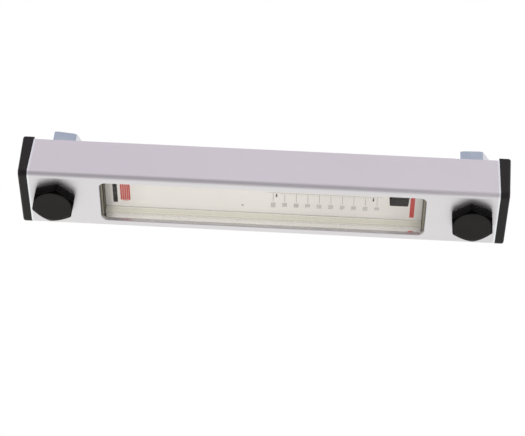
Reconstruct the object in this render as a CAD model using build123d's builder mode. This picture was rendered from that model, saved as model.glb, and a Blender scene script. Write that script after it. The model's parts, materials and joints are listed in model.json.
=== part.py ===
from build123d import *
import os

# Tank level gauge with thermometer, fixed to a tank wall by two hollow M12 bolts.
# Frame: +Z runs up the gauge, -Y is the viewing side, +Y points into the tank.
# Origin: on the tank wall's outer face, midway between the two bolt axes. Millimetres.

# ---- driving dimensions ----
SPACING = 200.0          # bolt axis to bolt axis
L = 224.0                # housing length
W = 34.0                 # housing width (X)
D = 24.0                 # housing depth (Y)
WALL = 2.0               # housing wall
R_EDGE = 3.0             # rounded front edges
Y_REAR = -3.4            # rear edge of the housing walls
Y_FRONT = Y_REAR - D     # front face of the housing
Y_IN = Y_FRONT + WALL    # inner side of the front wall
WIN_L, WIN_W, WIN_R = 155.6, 24.4, 3.0
CAP_T = 4.4              # end cap plate thickness at the viewing side
CAP_T_BACK = 5.6         # and at the tank side, where the plate is thicker
CAP_BACK = 1.8           # how far the caps reach behind the housing walls
CAP_PLUG = 2.7           # depth of the cap's plug
BOLT_R = 6.0             # M12 shank
HOLE_R = 6.2             # clearance hole for it
HEAD_AF, HEAD_H = 19.0, 5.2
NUT_AF, NUT_H = 19.0, 10.0
BOLT_END = 13.2          # free end of the bolt
FREE_FROM, FREE_R = 10.3, 5.9      # thread end that stands out of the nut
TUBE_W, TUBE_T = 26.8, 9.0
BLOCK_W = 29.4
TUBE_END = 76.6          # half length of the sight tube
BORE_W, BORE_T = 21.8, 5.0
Y_TUBE = Y_IN + 0.1 + TUBE_T / 2           # centre plane of the tube, 0.1 clear of the wall
Y_PLATE = Y_IN + 0.1 + TUBE_T + 0.15       # front face of the scale plate, with room for its print
PLATE_T, PLATE_W = 4.4, 29.6
TRAY_WALL, TRAY_END = 1.3, 77.4      # side walls of the plate, which cradle the tube
GASKET_T = 1.0
BLOCK_IN, BLOCK_OUT = 77.6, 109.0   # block from its tube face to its outer end
Y_BLOCK = -2.4                      # rear face of the end blocks
ORING_SEC = 1.8
SEAL_R = 11.0
TH_X = 4.7               # thermometer axis, beside the centre line
TH_Y = Y_PLATE + 2.1
TH_R, TH_BORE = 1.2, 0.4
BULB_R = 1.4
HOLD_T = 3.8             # thickness of the thermometer holders
HOLD_LOW = (-70.6, -60.0, -2.7, 9.0, 0.9)    # z0, z1, x0, x1, taper
HOLD_UP = (7.4, 15.6, 1.2, 8.6, 0.7)
TH_TOP, TH_NECK, TH_BOT = 14.0, -60.5, -69.5
LIQ_TOP = -12.0          # top of the liquid column
AF2C = 0.57735           # half of corner distance over flats distance

os.makedirs("parts", exist_ok=True)


def save(bp, name):
    bp.part.label = name
    export_step(bp.part, f"parts/{name}.step")


# ---- housing: extruded U section, open at the rear, with window and bolt holes ----
with BuildPart() as housing:
    with BuildSketch(Plane.XY.offset(-L / 2)):
        with BuildLine():
            Polyline((-W / 2, Y_REAR), (-W / 2, Y_FRONT), (W / 2, Y_FRONT), (W / 2, Y_REAR),
                     (W / 2 - WALL, Y_REAR), (W / 2 - WALL, Y_IN), (-W / 2 + WALL, Y_IN),
                     (-W / 2 + WALL, Y_REAR), (-W / 2, Y_REAR))
        make_face()
    extrude(amount=L)
    front_edges = housing.edges().filter_by(Axis.Z).filter_by_position(Axis.Y, Y_FRONT - 0.01, Y_FRONT + 0.01)
    fillet(front_edges, R_EDGE)
    inner_edges = housing.edges().filter_by(Axis.Z).filter_by_position(Axis.Y, Y_IN - 0.01, Y_IN + 0.01)
    fillet(inner_edges, 0.3)
    rear_edges = housing.edges().filter_by(Axis.Z).filter_by_position(Axis.Y, Y_REAR - 0.01, Y_REAR + 0.01)
    chamfer(rear_edges, 0.25)
    with BuildSketch(Plane.XZ.offset(-Y_FRONT + 1)):
        RectangleRounded(WIN_W, WIN_L, WIN_R)
        with Locations((0, SPACING / 2), (0, -SPACING / 2)):
            Circle(HOLE_R)
    extrude(amount=-(WALL + 2), mode=Mode.SUBTRACT)
    # small broken edge round the window on the viewing side
    win_edges = [e for e in housing.edges().filter_by_position(Axis.Y, Y_FRONT - 0.01, Y_FRONT + 0.01)
                 if abs(e.center().X) < WIN_W / 2 + 0.5 and abs(e.center().Z) < WIN_L / 2 + 0.5]
    chamfer(win_edges, 0.25)
save(housing, "housing_profile")


# ---- end caps: a plate with rounded outer edge and a hollow plug, moulded in one ----
def end_cap(s):
    """s = +1 for the upper end, -1 for the lower end."""
    y0, y1 = Y_FRONT, Y_REAR + CAP_BACK
    with BuildPart() as cap:
        with BuildSketch(Plane.XY.offset(s * L / 2)):
            with Locations((0, (y0 + y1) / 2)):
                Rectangle(W, y1 - y0)
        extrude(amount=s * CAP_T_BACK)
        # the outer face leans: thin at the viewing side, thicker at the tank side
        with BuildSketch(Plane.YZ.offset(-W)):
            with BuildLine():
                Polyline((y0 - 1, s * (L / 2 + CAP_T)), (y0, s * (L / 2 + CAP_T)), (y1, s * (L / 2 + CAP_T_BACK)),
                         (y1 + 1, s * (L / 2 + CAP_T_BACK)), (y1 + 1, s * (L / 2 + 9)), (y0 - 1, s * (L / 2 + 9)),
                         (y0 - 1, s * (L / 2 + CAP_T)))
            make_face()
        extrude(amount=2 * W, mode=Mode.SUBTRACT)
        uprights = cap.edges().filter_by(Axis.Z)
        fillet(uprights.filter_by_position(Axis.Y, y0 - 0.1, y0 + 0.1), R_EDGE - 0.2)
        fillet(cap.edges().filter_by(Axis.Z).filter_by_position(Axis.Y, y1 - 0.1, y1 + 0.1), 0.95)
        outer = cap.faces().sort_by(Axis.Z)[-1 if s > 0 else 0].edges()
        fillet(outer, 1.2)
        py0, py1 = Y_IN + 0.06, Y_REAR - 0.1
        with BuildSketch(Plane.XY.offset(s * L / 2)):
            with Locations((0, (py0 + py1) / 2)):
                RectangleRounded(W - 2 * WALL - 0.1, py1 - py0, 0.8)
                RectangleRounded(W - 2 * WALL - 3.7, py1 - py0 - 3.6, 0.5, mode=Mode.SUBTRACT)
        extrude(amount=-s * CAP_PLUG)
    return cap


save(end_cap(1), "end_cap_upper")
save(end_cap(-1), "end_cap_lower")

# ---- sight tube: clear extrusion with a flat rounded bore, open at both ends ----
with BuildPart() as tube:
    with BuildSketch(Plane.XY.offset(-TUBE_END)):
        with Locations((0, Y_TUBE)):
            RectangleRounded(TUBE_W, TUBE_T, 0.8)
            RectangleRounded(BORE_W, BORE_T, 1.6, mode=Mode.SUBTRACT)
    extrude(amount=2 * TUBE_END)
save(tube, "sight_tube")


# ---- flat gaskets between the tube's ends and the end blocks ----
def tube_gasket(s):
    with BuildPart() as g:
        with BuildSketch(Plane.XY.offset(s * TUBE_END)):
            with Locations((0, Y_TUBE)):
                RectangleRounded(TUBE_W - 0.2, TUBE_T - 0.2, 0.7)
                RectangleRounded(BORE_W, BORE_T, 1.6, mode=Mode.SUBTRACT)
        extrude(amount=s * GASKET_T)
    return g


save(tube_gasket(1), "tube_gasket_upper")
save(tube_gasket(-1), "tube_gasket_lower")


# ---- end blocks: hold tube and plate, carry the bolt, lead the oil to the tube ----
def end_block(s):
    zc = s * SPACING / 2
    with BuildPart() as b:
        with BuildSketch(Plane.XY.offset(s * BLOCK_IN)):
            with Locations((0, (Y_IN + Y_BLOCK) / 2)):
                RectangleRounded(BLOCK_W, Y_BLOCK - Y_IN, 0.8)
        extrude(amount=s * (BLOCK_OUT - BLOCK_IN))
        # bolt bore, from the viewing side to the tank side
        with BuildSketch(Plane.XZ.offset(-Y_IN + 1)):
            with Locations((0, zc)):
                Circle(HOLE_R)
        extrude(amount=-(Y_BLOCK - Y_IN + 2), mode=Mode.SUBTRACT)
        # recess for the front O-ring
        with BuildSketch(Plane.XZ.offset(-Y_IN)):
            with Locations((0, zc)):
                Circle(8.0)
        extrude(amount=-ORING_SEC, mode=Mode.SUBTRACT)
        # oil way from the bolt bore to the tube
        with BuildSketch(Plane.XY.offset(s * BLOCK_IN)):
            with Locations((0, Y_TUBE)):
                SlotOverall(18.0, BORE_T - 0.6)
        extrude(amount=s * (SPACING / 2 - BLOCK_IN), mode=Mode.SUBTRACT)
        # pocket that takes the end of the scale plate
        with BuildSketch(Plane.XY.offset(s * BLOCK_IN)):
            with Locations((0, Y_PLATE + PLATE_T / 2)):
                Rectangle(26.2, PLATE_T + 0.1)
        extrude(amount=s * 2.0, mode=Mode.SUBTRACT)
        # weight-saving pocket in the back, as moulded
        with BuildSketch(Plane.XZ.offset(-Y_BLOCK)):
            with Locations((-6.6, s * 84.3), (6.6, s * 84.3)):
                RectangleRounded(9.6, 7.4, 1.0)
        extrude(amount=6.0, mode=Mode.SUBTRACT)
    return b


save(end_block(1), "end_block_upper")
save(end_block(-1), "end_block_lower")

# ---- scale plate: a white tray whose side walls cradle the tube, with a tongue at each end
# and a groove for the thermometer, moulded in one ----
with BuildPart() as plate:
    with BuildSketch(Plane.XY.offset(-TRAY_END)):
        with BuildLine():
            Polyline((-PLATE_W / 2, Y_PLATE + PLATE_T), (-PLATE_W / 2, Y_IN + 0.4),
                     (-PLATE_W / 2 + TRAY_WALL, Y_IN + 0.4), (-PLATE_W / 2 + TRAY_WALL, Y_PLATE),
                     (PLATE_W / 2 - TRAY_WALL, Y_PLATE), (PLATE_W / 2 - TRAY_WALL, Y_IN + 0.4),
                     (PLATE_W / 2, Y_IN + 0.4), (PLATE_W / 2, Y_PLATE + PLATE_T),
                     (-PLATE_W / 2, Y_PLATE + PLATE_T))
        make_face()
    extrude(amount=2 * TRAY_END)
    outer_back = plate.edges().filter_by(Axis.Z).filter_by_position(
        Axis.Y, Y_PLATE + PLATE_T - 0.01, Y_PLATE + PLATE_T + 0.01)
    chamfer(outer_back, 0.5)
    with BuildSketch(Plane.XY.offset(-(BLOCK_IN + 1.8))):
        with Locations((0, Y_PLATE + PLATE_T / 2)):
            Rectangle(26.0, PLATE_T - 0.1)
    extrude(amount=2 * (BLOCK_IN + 1.8))
    # round-bottomed groove along the stem
    with BuildSketch(Plane.XY.offset(HOLD_LOW[1] - 1)):
        with Locations((TH_X, TH_Y)):
            Circle(TH_R + 0.08)
        with Locations((TH_X, Y_PLATE)):
            Rectangle(2 * TH_R + 0.16, 2 * (TH_Y - Y_PLATE))
    extrude(amount=HOLD_UP[0] - HOLD_LOW[1] + 2, mode=Mode.SUBTRACT)
    # recesses for the two holders
    with BuildSketch(Plane.XZ.offset(-Y_PLATE)):
        for z0, z1, x0, x1, taper in (HOLD_LOW, HOLD_UP):
            with BuildLine():
                Polyline((x1 + 0.08, z0 - 0.08), (x1 + 0.08, z1 + 0.08), (x0 - 0.08, z1 - taper + 0.08),
                         (x0 - 0.08, z0 + taper - 0.08), (x1 + 0.08, z0 - 0.08))
            make_face()
    extrude(amount=-(HOLD_T + 0.1), mode=Mode.SUBTRACT)
save(plate, "scale_plate")

# ---- thermometer: glass stem and bulb, with its liquid ----
with BuildPart() as glass:
    with BuildSketch(Plane.XZ.offset(-TH_Y)) as sk:
        with BuildLine():
            Polyline((TH_X, TH_BOT), (TH_X + 0.8, TH_BOT), (TH_X + BULB_R, TH_BOT + 1.2),
                     (TH_X + BULB_R, TH_NECK - 1.2), (TH_X + TH_R, TH_NECK - 0.4), (TH_X + TH_R, TH_TOP - 0.9),
                     (TH_X + 0.6, TH_TOP), (TH_X, TH_TOP), (TH_X, TH_BOT))
        make_face()
    revolve(axis=Axis((TH_X, TH_Y, 0), (0, 0, 1)))
    with BuildSketch(Plane.XZ.offset(-TH_Y)):
        with BuildLine():
            Polyline((TH_X, TH_BOT + 0.7), (TH_X + 0.9, TH_BOT + 1.1), (TH_X + 0.9, TH_NECK - 1.8),
                     (TH_X + TH_BORE, TH_NECK - 0.6), (TH_X + TH_BORE, TH_TOP - 1.5),
                     (TH_X, TH_TOP - 1.1), (TH_X, TH_BOT + 0.7))
        make_face()
    revolve(axis=Axis((TH_X, TH_Y, 0), (0, 0, 1)), mode=Mode.SUBTRACT)
save(glass, "thermometer_glass")

with BuildPart() as liquid:
    with BuildSketch(Plane.XZ.offset(-TH_Y)):
        with BuildLine():
            Polyline((TH_X, TH_BOT + 0.72), (TH_X + 0.88, TH_BOT + 1.12), (TH_X + 0.88, TH_NECK - 1.81),
                     (TH_X + TH_BORE - 0.02, TH_NECK - 0.61), (TH_X + TH_BORE - 0.02, LIQ_TOP),
                     (TH_X, LIQ_TOP), (TH_X, TH_BOT + 0.72))
        make_face()
    revolve(axis=Axis((TH_X, TH_Y, 0), (0, 0, 1)))
save(liquid, "thermometer_liquid")


# ---- thermometer holders: small black blocks let into the plate's front, bored for the glass ----
def holder(shape, hole_r, z_from, z_to):
    z0, z1, x0, x1, taper = shape
    with BuildPart() as h:
        with BuildSketch(Plane.XZ.offset(-Y_PLATE - 0.02)):
            with BuildLine():
                Polyline((x1, z0), (x1, z1), (x0, z1 - taper), (x0, z0 + taper), (x1, z0))
            make_face()
        extrude(amount=-HOLD_T)
        with BuildSketch(Plane.XY.offset(z_from)):
            with Locations((TH_X, TH_Y)):
                Circle(hole_r)
        extrude(amount=z_to - z_from, mode=Mode.SUBTRACT)
        fillet(h.edges().filter_by(Axis.Y), 0.5)
    return h


save(holder(HOLD_LOW, BULB_R + 0.05, TH_BOT - 0.1, HOLD_LOW[1] + 1), "thermometer_holder_lower")
save(holder(HOLD_UP, TH_R + 0.05, HOLD_UP[0] - 1, TH_TOP + 0.1), "thermometer_holder_upper")


# ---- hollow bolts: hexagon head, shank with relief, axial bore and cross hole ----
def hollow_bolt(s, turn):
    zc = s * SPACING / 2
    ax = Axis((0, 0, zc), (0, 1, 0))
    with BuildPart() as b:
        with BuildSketch(Plane.XZ.offset(-Y_FRONT)):
            with Locations((0, zc)):
                RegularPolygon(HEAD_AF / 2, 6, major_radius=False, rotation=turn)
        extrude(amount=HEAD_H)
        # 30 degree chamfer of the head: keep what lies inside a turned outline
        r_in, r_out = HEAD_AF / 2 * 0.955, HEAD_AF * AF2C + 0.5
        drop = (r_out - r_in) * 0.57735
        yf = Y_FRONT - HEAD_H
        with BuildSketch(Plane.YZ):
            with BuildLine():
                Polyline((yf, zc), (yf, zc + r_in), (yf + drop, zc + r_out), (Y_FRONT + 0.0, zc + r_out),
                         (Y_FRONT + 0.0, zc), (yf, zc))
            make_face()
        revolve(axis=ax, mode=Mode.INTERSECT)
        # shank, with a relief where the cross hole opens
        yc = Y_TUBE
        with BuildSketch(Plane.YZ):
            with BuildLine():
                Polyline((Y_FRONT, zc), (Y_FRONT, zc + BOLT_R), (yc - 3.4, zc + BOLT_R),
                         (yc - 2.6, zc + 5.1), (yc + 2.6, zc + 5.1), (yc + 3.4, zc + BOLT_R),
                         (FREE_FROM, zc + BOLT_R), (FREE_FROM, zc + FREE_R), (BOLT_END - 0.9, zc + FREE_R),
                         (BOLT_END, zc + FREE_R - 0.9), (BOLT_END, zc),
                         (Y_FRONT, zc))
            make_face()
        revolve(axis=ax)
        # axial bore from the tank side and the cross hole into it
        with BuildSketch(Plane.XZ.offset(-BOLT_END)):
            with Locations((0, zc)):
                Circle(2.5)
        extrude(amount=BOLT_END - (yc - 2.2), mode=Mode.SUBTRACT)
        with BuildSketch(Plane.XY.offset(zc - 8)):
            with Locations((0, yc)):
                Circle(2.0)
        extrude(amount=16, mode=Mode.SUBTRACT)
    return b


save(hollow_bolt(-1, 6.0), "hollow_bolt_lower")
save(hollow_bolt(1, -12.0), "hollow_bolt_upper")


# ---- front O-rings, in the recess of each end block ----
def o_ring(s):
    r = ORING_SEC / 2
    with BuildPart() as o:
        with BuildSketch(Plane.YZ):
            with Locations((Y_IN + r, s * SPACING / 2 + BOLT_R + 0.04 + r)):
                Circle(r)
        revolve(axis=Axis((0, 0, s * SPACING / 2), (0, 1, 0)))
    return o


save(o_ring(1), "front_o_ring_upper")
save(o_ring(-1), "front_o_ring_lower")


# ---- rear seals: flat rubber rings with rounded rims against the tank wall ----
def rear_seal(s):
    zc = s * SPACING / 2
    with BuildPart() as r:
        with BuildSketch(Plane.XZ.offset(-Y_BLOCK)):
            with Locations((0, zc)):
                Circle(SEAL_R)
                Circle(BOLT_R + 0.1, mode=Mode.SUBTRACT)
        extrude(amount=Y_BLOCK)
        fillet(r.edges().filter_by(GeomType.CIRCLE).sort_by(SortBy.RADIUS)[-2:], 0.35)
    return r


save(rear_seal(1), "rear_seal_upper")
save(rear_seal(-1), "rear_seal_lower")


# ---- hexagon nuts, chamfered both sides, one flat almost square to the gauge's side ----
def nut(s, turn):
    zc = s * SPACING / 2
    ax = Axis((0, 0, zc), (0, 1, 0))
    r_in, r_out = NUT_AF / 2 * 1.08, NUT_AF * AF2C + 0.5
    drop = (r_out - r_in) * 0.57735
    with BuildPart() as n:
        with BuildSketch(Plane.XZ.offset(0)):
            with Locations((0, zc)):
                RegularPolygon(NUT_AF / 2, 6, major_radius=False, rotation=30 + turn)
        extrude(amount=-NUT_H)
        with BuildSketch(Plane.YZ):
            with BuildLine():
                Polyline((0, zc + BOLT_R + 0.9), (0, zc + r_in), (drop, zc + r_out), (NUT_H - drop, zc + r_out),
                         (NUT_H, zc + r_in), (NUT_H, zc + BOLT_R + 0.9), (NUT_H - 0.84, zc + BOLT_R + 0.06),
                         (0.84, zc + BOLT_R + 0.06), (0, zc + BOLT_R + 0.9))
            make_face()
        revolve(axis=ax, mode=Mode.INTERSECT)
    return n


save(nut(1, -6.5), "nut_upper")
save(nut(-1, 2.5), "nut_lower")
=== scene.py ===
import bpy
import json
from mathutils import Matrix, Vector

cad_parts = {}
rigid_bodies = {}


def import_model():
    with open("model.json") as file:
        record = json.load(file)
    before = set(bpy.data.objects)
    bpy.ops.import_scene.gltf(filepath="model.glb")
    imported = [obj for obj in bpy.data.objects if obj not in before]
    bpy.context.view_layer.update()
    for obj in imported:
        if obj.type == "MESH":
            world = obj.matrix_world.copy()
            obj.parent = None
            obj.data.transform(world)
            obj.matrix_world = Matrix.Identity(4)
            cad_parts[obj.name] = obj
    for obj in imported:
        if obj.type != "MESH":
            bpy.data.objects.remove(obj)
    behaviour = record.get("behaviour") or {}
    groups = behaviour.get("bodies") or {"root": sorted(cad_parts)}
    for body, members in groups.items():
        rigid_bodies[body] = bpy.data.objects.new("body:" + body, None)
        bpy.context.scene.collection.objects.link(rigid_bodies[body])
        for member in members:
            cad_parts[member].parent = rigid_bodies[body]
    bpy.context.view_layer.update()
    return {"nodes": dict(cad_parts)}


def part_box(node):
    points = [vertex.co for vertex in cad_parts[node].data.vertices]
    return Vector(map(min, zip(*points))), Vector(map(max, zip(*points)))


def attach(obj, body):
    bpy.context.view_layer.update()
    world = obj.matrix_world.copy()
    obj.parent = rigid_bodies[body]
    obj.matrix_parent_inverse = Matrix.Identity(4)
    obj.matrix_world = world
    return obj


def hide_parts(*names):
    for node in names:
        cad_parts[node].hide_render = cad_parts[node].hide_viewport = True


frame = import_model()

import bpy, bmesh, math, json
from mathutils import Vector, Matrix

MM = 0.001


def nbox(name):
    lo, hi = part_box(name)
    return Vector(lo), Vector(hi)


# ------------------------------------------------------------------ camera
def make_camera():
    cam_data = bpy.data.cameras.new("gauge_camera")
    cam_data.lens = 119.9
    cam_data.sensor_width = 36.0
    cam_data.clip_start = 0.01
    cam_data.clip_end = 20.0
    cam = bpy.data.objects.new("gauge_camera", cam_data)
    bpy.context.scene.collection.objects.link(cam)
    right = Vector((0.0036228, 0.0647168, -0.9978971))
    down = Vector((-0.7036335, -0.7089040, -0.0485292))
    fwd = Vector((-0.7105539, 0.7023296, 0.0429685))
    pos = Vector((0.59045, -0.61665, -0.03627))
    m = Matrix.Identity(4)
    for i in range(3):
        m[i][0] = right[i]
        m[i][1] = -down[i]
        m[i][2] = -fwd[i]
        m[i][3] = pos[i]
    cam.matrix_world = m
    bpy.context.scene.camera = cam
    return cam, fwd


cam, FWD = make_camera()


# ------------------------------------------------------------------ node helpers
def new_mat(name):
    m = bpy.data.materials.new(name)
    m.use_nodes = True
    nt = m.node_tree
    for n in list(nt.nodes):
        nt.nodes.remove(n)
    out = nt.nodes.new("ShaderNodeOutputMaterial")
    bsdf = nt.nodes.new("ShaderNodeBsdfPrincipled")
    nt.links.new(bsdf.outputs[0], out.inputs["Surface"])
    return m, nt, bsdf, out


def coords(nt, scale=(1, 1, 1)):
    tc = nt.nodes.new("ShaderNodeTexCoord")
    mp = nt.nodes.new("ShaderNodeMapping")
    mp.inputs["Scale"].default_value = scale
    nt.links.new(tc.outputs["Object"], mp.inputs["Vector"])
    return mp.outputs["Vector"]


def noise(nt, vec, scale, detail=4.0, rough=0.55):
    n = nt.nodes.new("ShaderNodeTexNoise")
    n.inputs["Scale"].default_value = scale
    n.inputs["Detail"].default_value = detail
    n.inputs["Roughness"].default_value = rough
    nt.links.new(vec, n.inputs["Vector"])
    return n.outputs["Fac"]


def ramp(nt, fac, lo, hi, a=0.3, b=0.7):
    mr = nt.nodes.new("ShaderNodeMapRange")
    mr.inputs["From Min"].default_value = a
    mr.inputs["From Max"].default_value = b
    mr.inputs["To Min"].default_value = lo
    mr.inputs["To Max"].default_value = hi
    nt.links.new(fac, mr.inputs["Value"])
    return mr.outputs[0]


def mixcol(nt, fac, c1, c2):
    mx = nt.nodes.new("ShaderNodeMix")
    mx.data_type = "RGBA"
    mx.inputs[6].default_value = (*c1, 1)
    mx.inputs[7].default_value = (*c2, 1)
    nt.links.new(fac, mx.inputs[0])
    return mx.outputs[2]


def bump(nt, bsdf, height, strength, dist, chain=None):
    b = nt.nodes.new("ShaderNodeBump")
    b.inputs["Strength"].default_value = strength
    b.inputs["Distance"].default_value = dist
    nt.links.new(height, b.inputs["Height"])
    if chain is not None:
        nt.links.new(chain, b.inputs["Normal"])
    nt.links.new(b.outputs[0], bsdf.inputs["Normal"])
    return b.outputs[0]


# ------------------------------------------------------------------ materials
def mat_anodised():
    m, nt, b, _ = new_mat("satin_anodised_aluminium")
    grain = coords(nt, (900, 900, 900))
    draw = coords(nt, (1400, 1400, 9))
    cloud = coords(nt, (1, 1, 1))
    n_draw = noise(nt, draw, 1.0, 3, 0.6)
    n_grain = noise(nt, grain, 2.2, 2, 0.6)
    n_cloud = noise(nt, cloud, 22, 3, 0.5)
    b.inputs["Metallic"].default_value = 1.0
    alu = mixcol(nt, ramp(nt, n_cloud, 0, 1), (0.775, 0.765, 0.785), (0.80, 0.79, 0.805))
    to = nt.nodes.new("ShaderNodeTexCoord")                 # painted highlight: a pale bluish rim in the base colour at each end of the profile
    so = nt.nodes.new("ShaderNodeSeparateXYZ")
    nt.links.new(to.outputs["Object"], so.inputs[0])
    ao = nt.nodes.new("ShaderNodeMath")
    ao.operation = "ABSOLUTE"
    nt.links.new(so.outputs["Z"], ao.inputs[0])
    mx = nt.nodes.new("ShaderNodeMix")
    mx.data_type = "RGBA"
    nt.links.new(ramp(nt, ao.outputs[0], 0, 1, 0.1110, 0.1115), mx.inputs[0])
    nt.links.new(alu, mx.inputs[6])
    mx.inputs[7].default_value = (0.93, 0.98, 1.0, 1)
    nt.links.new(mx.outputs[2], b.inputs["Base Color"])
    nt.links.new(ramp(nt, n_draw, 0.36, 0.44), b.inputs["Roughness"])
    c = bump(nt, b, n_draw, 0.10, 0.00004)
    bump(nt, b, n_grain, 0.22, 0.00003, c)
    return m


def mat_black_plastic(name="black_moulded_plastic", base=(0.0065, 0.0060, 0.0055), rough=(0.34, 0.50), grain=0.35, spec=0.30):
    m, nt, b, _ = new_mat(name)
    v = coords(nt, (1, 1, 1))
    n1 = noise(nt, v, 2600, 3, 0.6)
    n2 = noise(nt, v, 70, 4, 0.6)
    b.inputs["Specular IOR Level"].default_value = spec
    nt.links.new(mixcol(nt, ramp(nt, n2, 0, 1), base, tuple(c * 1.7 for c in base)), b.inputs["Base Color"])
    nt.links.new(ramp(nt, n2, rough[0], rough[1]), b.inputs["Roughness"])
    c = bump(nt, b, n1, grain, 0.00006)
    bump(nt, b, n2, 0.12, 0.0002, c)
    return m


def mat_black_steel(name="black_finished_steel", c1=(0.0035, 0.0030, 0.0028), c2=(0.0065, 0.0055, 0.0050), spec=0.22):
    m, nt, b, _ = new_mat(name)
    v = coords(nt, (1, 1, 1))
    n1 = noise(nt, v, 1500, 3, 0.6)
    n2 = noise(nt, v, 160, 4, 0.6)
    b.inputs["Specular IOR Level"].default_value = spec
    nt.links.new(mixcol(nt, ramp(nt, n2, 0, 1), c1, c2), b.inputs["Base Color"])
    nt.links.new(ramp(nt, n2, 0.20, 0.32), b.inputs["Roughness"])
    c = bump(nt, b, n1, 0.22, 0.00004)
    bump(nt, b, n2, 0.10, 0.0001, c)
    return m


def mat_zinc():
    m, nt, b, _ = new_mat("blue_zinc_plating")
    v = coords(nt, (1, 1, 1))
    n1 = noise(nt, v, 900, 4, 0.6)
    n2 = noise(nt, v, 130, 3, 0.55)
    b.inputs["Metallic"].default_value = 1.0
    zc = mixcol(nt, ramp(nt, n2, 0, 1), (0.44, 0.53, 0.62), (0.53, 0.61, 0.66))
    # painted highlight: faces whose normal points along ±Z get a paler, whiter zinc colour
    tn = nt.nodes.new("ShaderNodeTexCoord")
    sn = nt.nodes.new("ShaderNodeSeparateXYZ")
    nt.links.new(tn.outputs["Normal"], sn.inputs[0])
    an = nt.nodes.new("ShaderNodeMath")
    an.operation = "ABSOLUTE"
    nt.links.new(sn.outputs["Z"], an.inputs[0])
    mx = nt.nodes.new("ShaderNodeMix")
    mx.data_type = "RGBA"
    nt.links.new(ramp(nt, an.outputs[0], 0, 1, 0.45, 0.80), mx.inputs[0])
    nt.links.new(zc, mx.inputs[6])
    mx.inputs[7].default_value = (0.86, 0.89, 0.94, 1)
    nt.links.new(mx.outputs[2], b.inputs["Base Color"])
    nt.links.new(ramp(nt, n1, 0.22, 0.38), b.inputs["Roughness"])
    bump(nt, b, n1, 0.30, 0.00006)
    return m


def mat_rubber(name="black_seal_rubber", c1=(0.012, 0.012, 0.012), c2=(0.022, 0.021, 0.02)):
    m, nt, b, _ = new_mat(name)
    v = coords(nt, (1, 1, 1))
    n1 = noise(nt, v, 1800, 4, 0.7)
    n2 = noise(nt, v, 90, 3, 0.5)
    b.inputs["Specular IOR Level"].default_value = 0.35
    nt.links.new(mixcol(nt, ramp(nt, n2, 0, 1), c1, c2), b.inputs["Base Color"])
    nt.links.new(ramp(nt, n1, 0.55, 0.8), b.inputs["Roughness"])
    bump(nt, b, n1, 0.4, 0.00008)
    return m


def mat_white():
    m, nt, b, _ = new_mat("white_scale_plastic")
    v = coords(nt, (1, 1, 1))
    n1 = noise(nt, v, 700, 3, 0.6)
    n2 = noise(nt, v, 30, 3, 0.5)
    nt.links.new(mixcol(nt, ramp(nt, n2, 0, 1), (0.21, 0.205, 0.20), (0.235, 0.23, 0.225)), b.inputs["Base Color"])
    nt.links.new(ramp(nt, n1, 0.42, 0.58), b.inputs["Roughness"])
    bump(nt, b, n1, 0.15, 0.00005)
    # the glow stands for light led in by the clear tube; it fades where the ends shade the plate
    geo = nt.nodes.new("ShaderNodeTexCoord")
    sep = nt.nodes.new("ShaderNodeSeparateXYZ")
    nt.links.new(geo.outputs["Object"], sep.inputs[0])
    ab = nt.nodes.new("ShaderNodeMath")
    ab.operation = "ABSOLUTE"
    nt.links.new(sep.outputs["Z"], ab.inputs[0])
    ax = nt.nodes.new("ShaderNodeMath")
    ax.operation = "ABSOLUTE"
    nt.links.new(sep.outputs["X"], ax.inputs[0])
    f1 = ramp(nt, ax.outputs[0], 1.0, 0.88, 0.0085, 0.0118)     # toward the side walls
    f2 = ramp(nt, ax.outputs[0], 1.0, 0.87, 0.01185, 0.0120)
    f3 = ramp(nt, ax.outputs[0], 1.0, 1.12, 0.01335, 0.0135)    # the walls themselves
    f4 = ramp(nt, ab.outputs[0], 1.0, 0.84, 0.0560, 0.0700)     # toward the ends
    f5 = ramp(nt, sep.outputs["Z"], 0.91, 1.0, -0.0350, 0.0000)  # the lower half a little darker
    f6 = ramp(nt, sep.outputs["Z"], 1.0, 0.72, 0.0728, 0.0745)  # shade between the upper bar and the end
    for f in (f1, f2, f3, f4, f5, f6):
        mu = nt.nodes.new("ShaderNodeMath")
        mu.operation = "MULTIPLY"
        nt.links.new(f, mu.inputs[0])
        if f is f1:
            nt.links.new(ramp(nt, ab.outputs[0], 0.68, 0.42, 0.0705, 0.0765), mu.inputs[1])
        else:
            nt.links.new(last.outputs[0], mu.inputs[1])
        last = mu
    nt.links.new(last.outputs[0], b.inputs["Emission Strength"])
    # painted light: the glow's colour turns yellower on the side walls
    nt.links.new(mixcol(nt, ramp(nt, ax.outputs[0], 0, 1, 0.01335, 0.0135), (1.0, 0.953, 0.920), (1.0, 0.965, 0.84)),
                 b.inputs["Emission Color"])
    return m


def mat_clear():
    m, nt, b, out = new_mat("clear_tube_plastic")
    v = coords(nt, (1200, 1200, 12))
    n1 = noise(nt, v, 1.0, 2, 0.5)
    b.inputs["Base Color"].default_value = (0.992, 0.99, 0.978, 1)
    b.inputs["Transmission Weight"].default_value = 1.0
    b.inputs["IOR"].default_value = 1.49
    b.inputs["Specular Tint"].default_value = (0.06, 0.06, 0.06, 1)
    nt.links.new(ramp(nt, n1, 0.015, 0.045), b.inputs["Roughness"])
    bump(nt, b, n1, 0.04, 0.00003)
    ab = nt.nodes.new("ShaderNodeVolumeAbsorption")
    ab.inputs["Color"].default_value = (0.88, 0.87, 0.58, 1)
    ab.inputs["Density"].default_value = 9.0
    nt.links.new(ab.outputs[0], out.inputs["Volume"])
    return m


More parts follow.
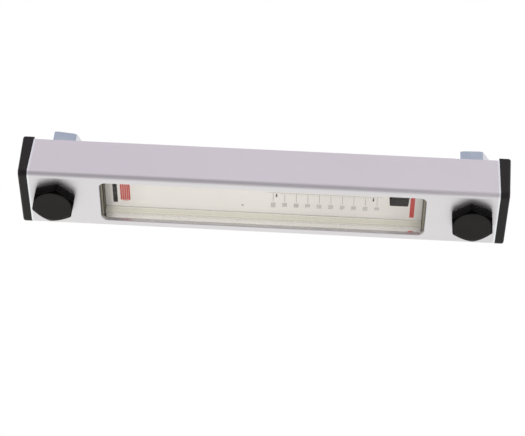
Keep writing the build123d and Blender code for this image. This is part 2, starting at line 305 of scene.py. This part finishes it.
def mat_glass():
    m, nt, b, out = new_mat("thermometer_glass")
    v = coords(nt, (1, 1, 1))
    n1 = noise(nt, v, 300, 2, 0.5)
    b.inputs["Base Color"].default_value = (0.995, 0.995, 0.99, 1)
    b.inputs["Transmission Weight"].default_value = 1.0
    b.inputs["IOR"].default_value = 1.25
    b.inputs["Specular IOR Level"].default_value = 0.2
    nt.links.new(ramp(nt, n1, 0.0, 0.03), b.inputs["Roughness"])
    bump(nt, b, n1, 0.03, 0.00003)
    return m


def mat_red(name="red_liquid", col=(0.55, 0.012, 0.015), rough=(0.12, 0.25), spec=0.5, glow=0.0):
    m, nt, b, _ = new_mat(name)
    b.inputs["Specular IOR Level"].default_value = spec
    b.inputs["Emission Color"].default_value = (*col, 1)
    b.inputs["Emission Strength"].default_value = glow
    v = coords(nt, (1, 1, 1))
    n1 = noise(nt, v, 900, 3, 0.6)
    nt.links.new(mixcol(nt, ramp(nt, n1, 0, 1), tuple(c * 0.85 for c in col), col), b.inputs["Base Color"])
    nt.links.new(ramp(nt, n1, rough[0], rough[1]), b.inputs["Roughness"])
    bump(nt, b, n1, 0.1, 0.00003)
    return m


M_AL = mat_anodised()
M_CAP = mat_black_plastic()
M_BLOCK = mat_black_plastic("end_block_plastic", (0.045, 0.044, 0.041), (0.45, 0.6), 0.4)
M_HOLD = mat_black_plastic("holder_plastic", (0.010, 0.006, 0.006), (0.5, 0.65), 0.3, 0.08)
M_STEEL = mat_black_steel()
# painted shade: darker, less shiny copies of the black steel for the flats and the chamfer of the bolt heads
M_FLAT_SHADE = mat_black_steel("black_flats_painted_shade", (0.0016, 0.0014, 0.0012), (0.0028, 0.0024, 0.0021), 0.04)
M_CHAM_SHADE = mat_black_steel("black_chamfer_painted_shade", (0.0008, 0.0007, 0.0006), (0.0014, 0.0012, 0.0010), 0.03)
M_ZINC = mat_zinc()
M_RUB = mat_rubber()
# painted light: the gaskets, seen through the tube's ends, are coloured a light olive to give the tinted glow at the
# window's ends
M_GASK = mat_rubber("gasket_rubber_painted_olive_glow", (0.290, 0.270, 0.205), (0.370, 0.345, 0.268))
M_WHITE = mat_white()
M_CLEAR = mat_clear()
M_GLASS = mat_glass()
M_LIQ = mat_red()
# painted light: the red, pale red and grey prints carry a weak glow (emission)
M_INK_RED = mat_red("red_print", (0.62, 0.075, 0.070), (0.5, 0.7), 0.08, 0.40)
M_INK_PALE = mat_red("pale_red_print", (0.66, 0.30, 0.28), (0.5, 0.7), 0.08, 0.48)
M_INK_BLACK = mat_red("black_print", (0.030, 0.031, 0.029), (0.5, 0.7), 0.08)
M_INK_GREY = mat_red("grey_print", (0.34, 0.335, 0.32), (0.5, 0.7), 0.08, 0.60)


def cad_obj(node):
    n = frame["nodes"][node]
    if isinstance(n, bpy.types.Object):
        return n
    for o in bpy.data.objects:
        if o.name == node or o.get("node") == node:
            return o
    raise KeyError(node)


def paint(node, mat):
    o = cad_obj(node)
    if not o.material_slots:
        o.data.materials.append(mat)
    for s in o.material_slots:
        s.material = mat


for node, mat in (
        ("housing_profile", M_AL), ("end_cap_upper", M_CAP), ("end_cap_lower", M_CAP),
        ("sight_tube", M_CLEAR), ("scale_plate", M_WHITE), ("thermometer_glass", M_GLASS),
        ("thermometer_liquid", M_LIQ), ("thermometer_holder_lower", M_HOLD),
        ("thermometer_holder_upper", M_WHITE), ("end_block_upper", M_BLOCK), ("end_block_lower", M_BLOCK),
        ("tube_gasket_upper", M_GASK), ("tube_gasket_lower", M_GASK),
        ("front_o_ring_upper", M_RUB), ("front_o_ring_lower", M_RUB),
        ("rear_seal_upper", M_RUB), ("rear_seal_lower", M_RUB),
        ("hollow_bolt_upper", M_STEEL), ("hollow_bolt_lower", M_STEEL),
        ("nut_upper", M_ZINC), ("nut_lower", M_ZINC)):
    paint(node, mat)


# ------------------------------------------------------------------ mesh helpers
def add_mesh(name, bm, mat, smooth=True):
    me = bpy.data.meshes.new(name)
    bmesh.ops.recalc_face_normals(bm, faces=bm.faces)
    bm.to_mesh(me)
    bm.free()
    o = bpy.data.objects.new(name, me)
    bpy.context.scene.collection.objects.link(o)
    me.materials.append(mat)
    if smooth:
        for p in me.polygons:
            p.use_smooth = True
        me.set_sharp_from_angle(angle=math.radians(28))
    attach(o, "root")
    return o


def loops_to_mesh(bm, loops, closed_ends=True):
    """loops: lists of equal length of (x, y, z); joined in order, ends filled."""
    rows = [[bm.verts.new(p) for p in lp] for lp in loops]
    n = len(rows[0])
    for a, b in zip(rows[:-1], rows[1:]):
        for i in range(n):
            j = (i + 1) % n
            bm.faces.new((a[i], a[j], b[j], b[i]))
    if closed_ends:
        bm.faces.new(rows[0])
        bm.faces.new(list(reversed(rows[-1])))
    return rows


# ------------------------------------------------------------------ bolts with real heads and threads
def hex_r(t, af, turn):
    """Radius of a hexagon's outline, corners slightly rounded, at angle t."""
    k = math.pi / 3
    a = ((t - turn + k / 2) % k) - k / 2          # 0 on the middle of a flat
    r = af / 2 / math.cos(a)
    rc = af / 2 / math.cos(k / 2)
    return min(r, rc - 0.16)


def build_bolt(name, zc, turn_deg, y_front, head_h, y_end):
    bm = bmesh.new()
    N = 144
    AF, r_in = 19.0, 9.05
    turn = math.radians(turn_deg)
    yf = y_front - head_h
    slope = math.tan(math.radians(30))
    tt = [2 * math.pi * i / N for i in range(N)]

    def ring(rf, yfn):
        out = []
        for t in tt:
            r = rf(t)
            out.append((r * math.cos(t) * MM, yfn(t, r) * MM, (zc + r * math.sin(t)) * MM))
        return out
    H = lambda t: hex_r(t, AF, turn)
    ch = lambda t: max(0.0, (H(t) - r_in)) * slope
    R0 = 6.0
    th_y0, th_y1 = -3.0, y_end
    pitch, depth = 1.75, 0.72
    loops = [
        ring(lambda t: 2.0, lambda t, r: yf + 0.06),
        ring(lambda t: 5.6, lambda t, r: yf + 0.05),
        ring(lambda t: 7.6, lambda t, r: yf + 0.02),
        ring(lambda t: r_in - 0.28, lambda t, r: yf),
        ring(lambda t: r_in - 0.10, lambda t, r: yf + 0.03),
        ring(lambda t: r_in, lambda t, r: yf + 0.10),
        ring(lambda t: r_in + 0.75 * max(0.0, H(t) - r_in), lambda t, r: yf + 0.10 + 0.75 * ch(t)),
        ring(lambda t: H(t) - 0.07, lambda t, r: yf + 0.08 + ch(t)),
        ring(lambda t: H(t), lambda t, r: yf + 0.20 + ch(t)),
        ring(lambda t: H(t), lambda t, r: y_front - 0.30),
        ring(lambda t: H(t) - 0.12, lambda t, r: y_front - 0.02),
        ring(lambda t: R0, lambda t, r: y_front),
        ring(lambda t: R0, lambda t, r: th_y0 - 1.0),
    ]
    # helical thread, faded in at its start and cut by the end chamfer
    steps = int((th_y1 - th_y0) / pitch * 10)
    for k in range(steps + 1):
        y = th_y0 + (th_y1 - th_y0) * k / steps

        def rr(t, y=y):
            ph = ((y - th_y0) / pitch - t / (2 * math.pi)) % 1.0
            tri = abs(ph - 0.5) * 2                    # 1 on the crest, 0 in the root
            prof = min(1.0, max(0.0, (tri - 0.12) / 0.76))
            fade = min(1.0, max(0.0, (y - th_y0) / 1.6))
            r = R0 - depth * fade * (1 - prof)
            lim = (R0 if y < 10.3 else 5.9) - max(0.0, y - (th_y1 - 0.9))     # end chamfer
            return min(r, lim)
        loops.append(ring(rr, lambda t, r, y=y: y))
    # end face, bore
    loops.append(ring(lambda t: 3.0, lambda t, r: y_end))
    loops.append(ring(lambda t: 2.5, lambda t, r: y_end - 0.4))
    loops.append(ring(lambda t: 2.5, lambda t, r: -20.0))
    rows = loops_to_mesh(bm, loops)
    bm.faces.ensure_lookup_table()
    for i in range(5 * N, 7 * N):                      # the chamfer of the head, in a darker steel copy: painted shade
        bm.faces[i].material_index = 1
    for i in range(8 * N, 9 * N):                      # its flats, in a darker steel copy: painted shade
        bm.faces[i].material_index = 2
    o = add_mesh(name, bm, M_STEEL)
    o.data.materials.append(M_CHAM_SHADE)
    o.data.materials.append(M_FLAT_SHADE)
    return o


ub_lo, ub_hi = nbox("hollow_bolt_upper")
lb_lo, lb_hi = nbox("hollow_bolt_lower")
hp_lo, hp_hi = nbox("housing_profile")
YF = hp_lo.y * 1000
HEAD = (hp_lo.y - lb_lo.y) * 1000
YEND = lb_hi.y * 1000
for nm, lo, hi, turn in (("bolt_upper_visual", ub_lo, ub_hi, 30 - 12.0), ("bolt_lower_visual", lb_lo, lb_hi, 36.0)):
    zc = round((lo.z + hi.z) / 2 * 1000, 1)
    o = build_bolt(nm, zc, turn, YF, HEAD, YEND)
    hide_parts("hollow_bolt_upper" if "upper" in nm else "hollow_bolt_lower")

# ------------------------------------------------------------------ print on the scale plate
sp_lo, sp_hi = nbox("scale_plate")
Y_PL = nbox("thermometer_holder_lower")[0].y * 1000 - 0.02      # front face of the plate
INK = 0.03


def flat_poly(bm, pts, lift=0.0):
    """A thin prism standing on the plate's face: pts are (x, z) in millimetres."""
    y1 = Y_PL - 0.01 - lift
    y0 = y1 - INK
    a = [bm.verts.new((x * MM, y0 * MM, z * MM)) for x, z in pts]
    b = [bm.verts.new((x * MM, y1 * MM, z * MM)) for x, z in pts]
    bm.faces.new(a)
    bm.faces.new(list(reversed(b)))
    n = len(pts)
    for i in range(n):
        j = (i + 1) % n
        bm.faces.new((a[i], b[i], b[j], a[j]))


def rect(bm, x0, x1, z0, z1, lift=0.0):
    flat_poly(bm, [(x0, z0), (x1, z0), (x1, z1), (x0, z1)], lift)


def stroke_digit(bm, ch, x, z, w, h, t):
    """A plain digit from short bars, read with +x to the right and +z up."""
    seg = {"0": "abcdef", "1": "bc", "2": "abged", "3": "abgcd", "4": "fgbc", "5": "afgcd",
           "6": "afgedc", "7": "abc", "8": "abcdefg", "9": "abfgcd"}[ch]
    x0, x1, z0, z1, zm = x, x + w, z, z + h, z + h / 2
    s = {"a": (x0, x1, z1 - t, z1), "d": (x0, x1, z0, z0 + t), "g": (x0, x1, zm - t / 2, zm + t / 2),
         "f": (x0, x0 + t, zm, z1), "e": (x0, x0 + t, z0, zm), "b": (x1 - t, x1, zm, z1),
         "c": (x1 - t, x1, z0, zm)}
    for k in seg:
        rect(bm, *s[k])


# thermometer scale: ten long ticks with numbers, short ones between
bm = bmesh.new()
bm_num = bmesh.new()
Z0, PITCH = -4.8, 5.55
for i in range(10):
    z = Z0 - i * PITCH
    rect(bm, -3.4, 2.45, z - 0.13, z + 0.13)
    if i < 9:
        for k in (1, 2, 3, 4):
            zz = z - PITCH * k / 5
            rect(bm, 0.9, 2.45, zz - 0.05, zz + 0.05)
    val = str(100 - 10 * i)
    w, h, g, t = 1.05, 2.1, 0.32, 0.34
    total = len(val) * w + (len(val) - 1) * g
    xs = -4.3 - total
    for c in val:
        stroke_digit(bm_num, c, xs, z - h / 2, w, h, t)
        xs += w + g
rect(bm, 2.42, 2.60, Z0 - 9 * PITCH - 3.2, Z0 + 3.0)
add_mesh("scale_ticks", bm, M_INK_GREY, smooth=False)
bm = bmesh.new()
for z0, x0 in ((-6.35, -0.5), (-52.9, -0.3)):
    rect(bm, x0, x0 + 2.3, z0 - 0.24, z0 + 0.24)
    rect(bm, x0 + 0.5, x0 + 1.1, z0 - 0.42, z0 + 0.42, 0.02)
add_mesh("scale_end_marks", bm, M_INK_BLACK, smooth=False)
add_mesh("scale_numbers", bm_num, M_INK_GREY, smooth=False)

# level marks near both ends of the window
bm = bmesh.new()
rect(bm, -8.9, 12.6, 70.8, 73.0)
add_mesh("upper_level_bar", bm, M_INK_BLACK, smooth=False)
bm = bmesh.new()
for k in range(5):
    z = 64.6 + k * 1.02
    rect(bm, -7.8 + (0.7 if k in (0, 4) else 0), 12.6, z, z + (0.66 if k in (0, 4) else 0.52), 0.022)
add_mesh("upper_level_field", bm, M_INK_RED, smooth=False)
bm = bmesh.new()
rect(bm, -6.9, 12.6, 64.7, 69.2)
add_mesh("upper_level_ground", bm, M_INK_PALE, smooth=False)
bm = bmesh.new()
rect(bm, -10.0, 12.6, -72.85, -70.66)
add_mesh("lower_level_bar", bm, M_INK_RED, smooth=False)
bm = bmesh.new()
rect(bm, -7.6, -6.2, 9.8, 10.2)
rect(bm, -7.2, -6.6, 9.4, 10.6)
add_mesh("scale_mark", bm, M_INK_GREY, smooth=False)

# ------------------------------------------------------------------ floor
bm = bmesh.new()
loopf = []
for r, z in ((0.02, 0), (0.30, 0), (0.52, 0), (0.58, 0.0)):
    loopf.append([(r * math.cos(2 * math.pi * i / 96), r * math.sin(2 * math.pi * i / 96), -0.205 + z) for i in range(96)])
rows = [[bm.verts.new(p) for p in lp] for lp in loopf]
for a, b in zip(rows[:-1], rows[1:]):
    for i in range(96):
        j = (i + 1) % 96
        bm.faces.new((a[i], a[j], b[j], b[i]))
bm.faces.new(rows[0])
me = bpy.data.meshes.new("pale_floor")
bmesh.ops.recalc_face_normals(bm, faces=bm.faces)
bm.to_mesh(me)
bm.free()
floor = bpy.data.objects.new("pale_floor", me)
bpy.context.scene.collection.objects.link(floor)
mf, nt, b, _ = new_mat("pale_floor")
vf = coords(nt, (1, 1, 1))
nf = noise(nt, vf, 40, 3, 0.5)
nt.links.new(mixcol(nt, ramp(nt, nf, 0, 1), (0.875, 0.875, 0.875), (0.885, 0.885, 0.885)), b.inputs["Base Color"])
b.inputs["Roughness"].default_value = 0.7
me.materials.append(mf)

# ------------------------------------------------------------------ light
world = bpy.data.worlds.new("studio")
bpy.context.scene.world = world
world.use_nodes = True
nt = world.node_tree
for n in list(nt.nodes):
    nt.nodes.remove(n)
outw = nt.nodes.new("ShaderNodeOutputWorld")
tc = nt.nodes.new("ShaderNodeTexCoord")


def lobe(direction, a, b):
    d = nt.nodes.new("ShaderNodeVectorMath")
    d.operation = "DOT_PRODUCT"
    d.inputs[1].default_value = Vector(direction).normalized()
    nt.links.new(tc.outputs["Generated"], d.inputs[0])
    mr = nt.nodes.new("ShaderNodeMapRange")
    mr.interpolation_type = "SMOOTHSTEP"
    mr.inputs["From Min"].default_value = a
    mr.inputs["From Max"].default_value = b
    nt.links.new(d.outputs["Value"], mr.inputs["Value"])
    return mr.outputs[0]


def wmix(fac, a, b):
    mx = nt.nodes.new("ShaderNodeMix")
    mx.data_type = "RGBA"
    for i, v in ((6, a), (7, b)):
        if isinstance(v, tuple):
            mx.inputs[i].default_value = (*v, 1)
        else:
            nt.links.new(v, mx.inputs[i])
    nt.links.new(fac, mx.inputs[0])
    return mx.outputs[2]


TOWARD_CAM = tuple(-FWD)
col = wmix(lobe((1, 0.2, 0), -0.6, 0.5), (0.93, 0.92, 0.90), (0.785, 0.73, 0.795))
col = wmix(lobe(TOWARD_CAM, 0.62, 0.93), col, (0.35, 0.33, 0.35))
for zz in (0.637, -0.594):                             # dark boards seen by the upper flats of the heads
    col = wmix(lobe((0.355, 0.70, zz), 0.93, 0.98), col, (0.10, 0.10, 0.10))
for zz in (0.60, -0.63):                               # white board seen by the nuts' sloping flats
    col = wmix(lobe((-0.36, 0.70, zz), 0.84, 0.93), col, (1.25, 1.25, 1.25))
lp = nt.nodes.new("ShaderNodeLightPath")
bg_light = nt.nodes.new("ShaderNodeBackground")
nt.links.new(col, bg_light.inputs["Color"])
bg_light.inputs["Strength"].default_value = 1.0
bg_in = nt.nodes.new("ShaderNodeBackground")           # what reaches the inside through the clear tube
bg_in.inputs["Color"].default_value = (1.0, 0.985, 0.97, 1)
bg_in.inputs["Strength"].default_value = 1.1
bg_cam = nt.nodes.new("ShaderNodeBackground")
bg_cam.inputs["Color"].default_value = (1, 1, 1, 1)
bg_cam.inputs["Strength"].default_value = 1.0
ms0 = nt.nodes.new("ShaderNodeMixShader")
nt.links.new(lp.outputs["Is Transmission Ray"], ms0.inputs[0])
nt.links.new(bg_light.outputs[0], ms0.inputs[1])
nt.links.new(bg_in.outputs[0], ms0.inputs[2])
ms = nt.nodes.new("ShaderNodeMixShader")
nt.links.new(lp.outputs["Is Camera Ray"], ms.inputs[0])
nt.links.new(ms0.outputs[0], ms.inputs[1])
nt.links.new(bg_cam.outputs[0], ms.inputs[2])
nt.links.new(ms.outputs[0], outw.inputs["Surface"])


def area(name, pos, target, size, power, color=(1, 1, 1)):
    ld = bpy.data.lights.new(name, "AREA")
    ld.shape = "RECTANGLE"
    ld.size, ld.size_y = size
    ld.energy = power
    ld.color = color
    o = bpy.data.objects.new(name, ld)
    bpy.context.scene.collection.objects.link(o)
    o.location = pos
    o.rotation_euler = (Vector(target) - Vector(pos)).to_track_quat("-Z", "Y").to_euler()
    return o


key = area("soft_key", (0.7, -0.5, 0.6), (0, 0, 0), (0.6, 0.6), 1.5, (1.0, 0.99, 0.98))
key.visible_glossy = False
key.visible_camera = False
key.visible_transmission = False

bpy.context.scene.view_settings.view_transform = "Standard"
